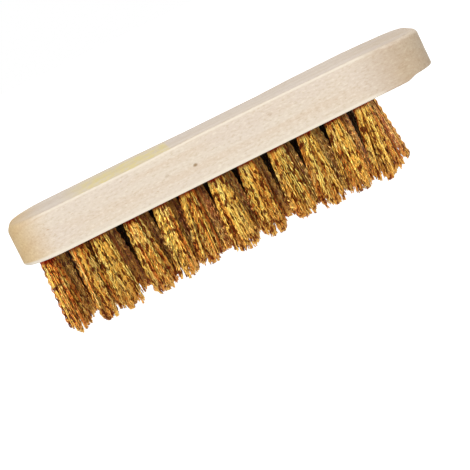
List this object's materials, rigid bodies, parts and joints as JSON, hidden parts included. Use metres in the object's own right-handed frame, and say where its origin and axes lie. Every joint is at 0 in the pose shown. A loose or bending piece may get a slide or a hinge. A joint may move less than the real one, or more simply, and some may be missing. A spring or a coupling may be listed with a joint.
{
  "type": "block wire brush",
  "caption": "Hand wire brush: flat wooden block with rounded ends and staggered rows of crimped brass wire tufts, each stapled into a blind hole; one end is left bare to hold.",
  "frame": {"origin": "centre of the plane that the wire tips stand on, under the middle of the block", "axes": "+X along the block towards its bare end, +Y across the block, +Z from the wire tips to the flat back"},
  "size_m": [0.15, 0.04, 0.0425],
  "materials": {
    "beech": "bare sanded beech, matt",
    "brass_wire": "drawn and crimped wire, bright",
    "anchor_steel": "galvanised strip"
  },
  "bodies": {
    "root": {"block": "beech", "anchors_row_1": "anchor_steel", "anchors_row_2": "anchor_steel", "anchors_row_3": "anchor_steel", "anchors_row_4": "anchor_steel", "tuft_row_1_01": "brass_wire", "tuft_row_1_02": "brass_wire", "tuft_row_1_03": "brass_wire", "tuft_row_1_04": "brass_wire", "tuft_row_1_05": "brass_wire", "tuft_row_1_06": "brass_wire", "tuft_row_1_07": "brass_wire", "tuft_row_1_08": "brass_wire", "tuft_row_1_09": "brass_wire", "tuft_row_1_10": "brass_wire", "tuft_row_1_11": "brass_wire", "tuft_row_1_12": "brass_wire", "tuft_row_2_01": "brass_wire", "tuft_row_2_02": "brass_wire", "tuft_row_2_03": "brass_wire", "tuft_row_2_04": "brass_wire", "tuft_row_2_05": "brass_wire", "tuft_row_2_06": "brass_wire", "tuft_row_2_07": "brass_wire", "tuft_row_2_08": "brass_wire", "tuft_row_2_09": "brass_wire", "tuft_row_2_10": "brass_wire", "tuft_row_2_11": "brass_wire", "tuft_row_2_12": "brass_wire", "tuft_row_3_01": "brass_wire", "tuft_row_3_02": "brass_wire", "tuft_row_3_03": "brass_wire", "tuft_row_3_04": "brass_wire", "tuft_row_3_05": "brass_wire", "tuft_row_3_06": "brass_wire", "tuft_row_3_07": "brass_wire", "tuft_row_3_08": "brass_wire", "tuft_row_3_09": "brass_wire", "tuft_row_3_10": "brass_wire", "tuft_row_3_11": "brass_wire", "tuft_row_4_01": "brass_wire", "tuft_row_4_02": "brass_wire", "tuft_row_4_03": "brass_wire", "tuft_row_4_04": "brass_wire", "tuft_row_4_05": "brass_wire", "tuft_row_4_06": "brass_wire", "tuft_row_4_07": "brass_wire", "tuft_row_4_08": "brass_wire", "tuft_row_4_09": "brass_wire", "tuft_row_4_10": "brass_wire", "tuft_row_4_11": "brass_wire", "tuft_row_4_12": "brass_wire"}
  },
  "joints": []
}
